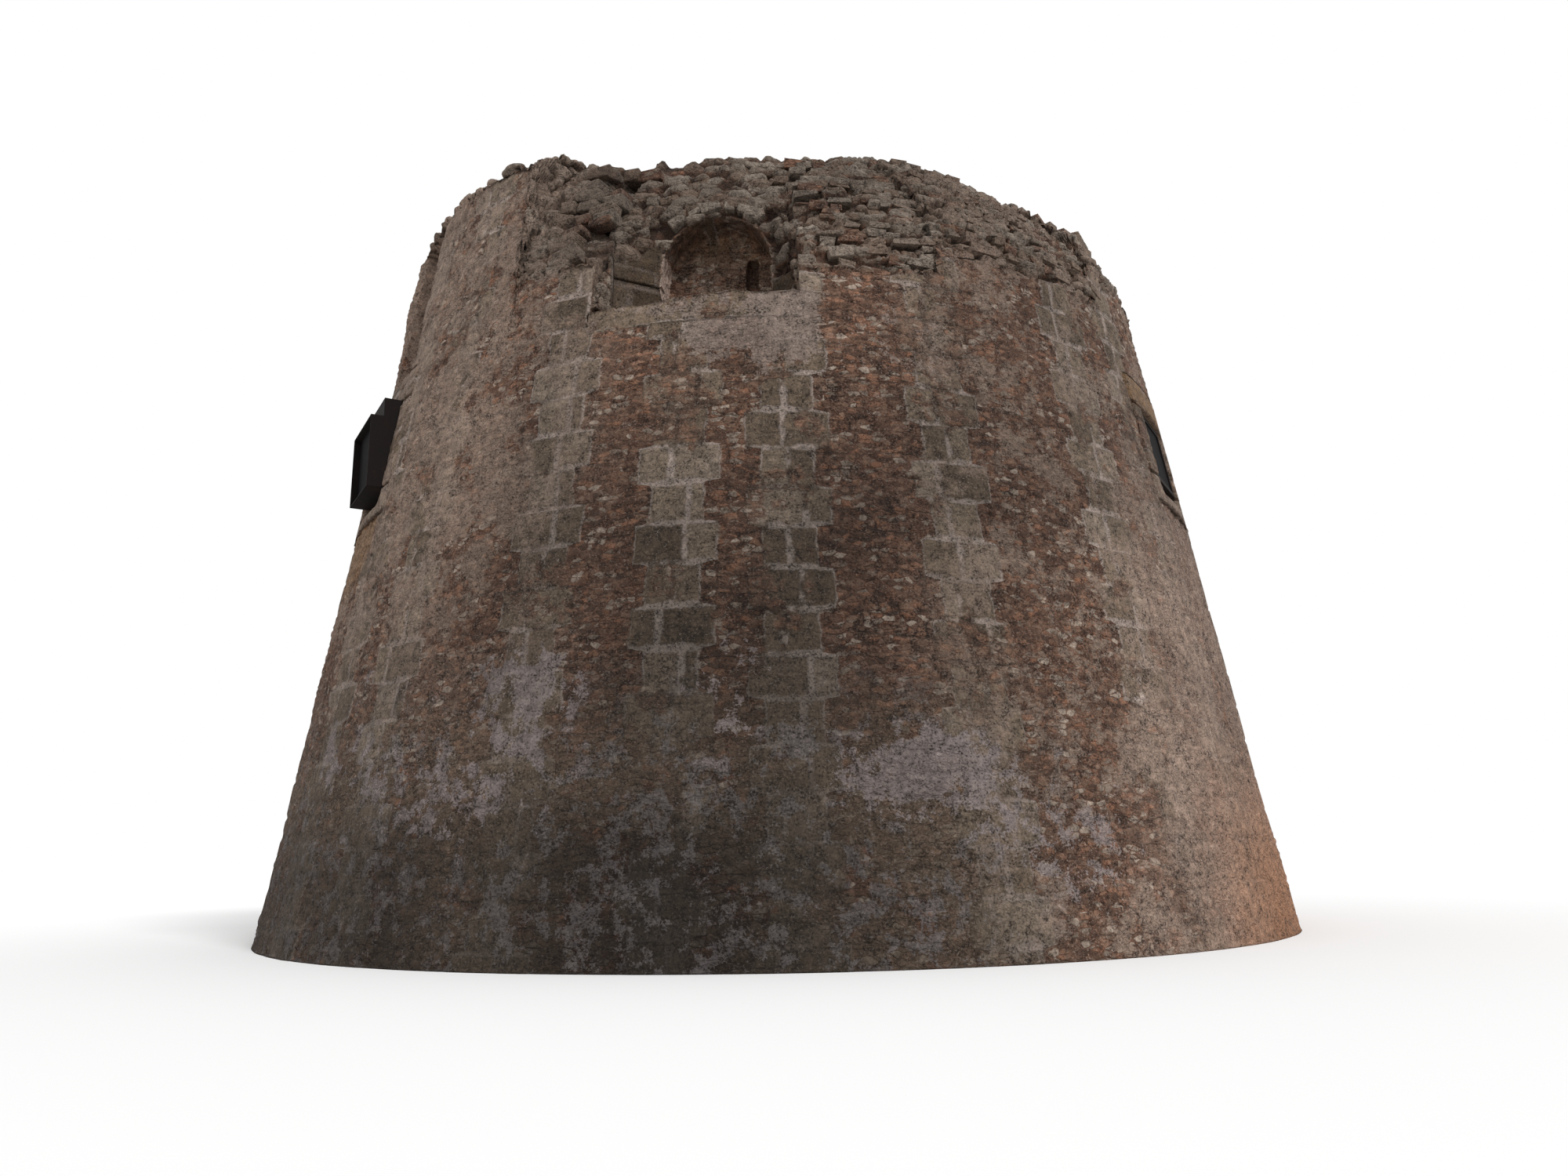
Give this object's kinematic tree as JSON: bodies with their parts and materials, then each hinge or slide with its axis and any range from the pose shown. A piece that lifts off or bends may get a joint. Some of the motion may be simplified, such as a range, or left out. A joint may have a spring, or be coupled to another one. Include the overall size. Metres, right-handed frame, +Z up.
{
  "type": "ruined coast watch tower",
  "caption": "Round battered stone watch tower: toothed ashlar chains bond its rubble facing round a domed chamber, under a broken top with a vaulted embrasure.",
  "frame": {"origin": "on the tower's axis at the lowest ground, in the middle of its foot", "axes": "+Z up, -Y towards the embrasure and the pictured front, +X to the right as seen from the front"},
  "size_m": [15.1, 15.0999, 10.8993],
  "materials": {
    "ashlar_limestone": "weathered dressed limestone",
    "rubble_facing": "rough rubble in red-brown earth mortar",
    "rubble_core": "exposed loose rubble",
    "inner_masonry": "rough masonry",
    "lime_paving": "worn lime floor",
    "dark_steel": "matte dark brown",
    "tinted_glass": "clear dark"
  },
  "bodies": {
    "root": {"foundation_mass": "inner_masonry", "chamber_floor": "lime_paving", "chamber_wall_front": "inner_masonry", "chamber_wall_right": "inner_masonry", "chamber_wall_left": "inner_masonry", "window_aprons": "inner_masonry", "dome": "inner_masonry", "terrace": "lime_paving", "crown_left": "rubble_core", "crown_step": "rubble_core", "crown_front": "rubble_core", "crown_centre": "rubble_core", "crown_right": "rubble_core", "crown_limb": "rubble_core", "crown_back_right": "rubble_core", "crown_back": "rubble_core", "crown_back_left": "rubble_core", "embrasure_back_wall": "rubble_core", "embrasure_arch": "ashlar_limestone", "embrasure_left_jamb": "ashlar_limestone", "embrasure_right_jamb": "ashlar_limestone", "ledge_course": "ashlar_limestone", "rim_block": "ashlar_limestone", "ashlar_front_left": "ashlar_limestone", "ashlar_front": "ashlar_limestone", "ashlar_front_right": "ashlar_limestone", "ashlar_right": "ashlar_limestone", "ashlar_back_right": "ashlar_limestone", "ashlar_back": "ashlar_limestone", "ashlar_back_left": "ashlar_limestone", "ashlar_left": "ashlar_limestone", "rubble_front_left": "rubble_facing", "rubble_front": "rubble_facing", "rubble_front_right": "rubble_facing", "rubble_right": "rubble_facing", "rubble_back_right": "rubble_facing", "rubble_back": "rubble_facing", "rubble_back_left": "rubble_facing", "rubble_left": "rubble_facing", "window_lintels": "ashlar_limestone", "window_jambs": "ashlar_limestone", "window_sills": "ashlar_limestone", "bay_sleeve": "dark_steel", "bay_hood": "dark_steel", "bay_glass": "tinted_glass", "screen_frames": "dark_steel", "screen_glass": "tinted_glass"}
  },
  "joints": []
}
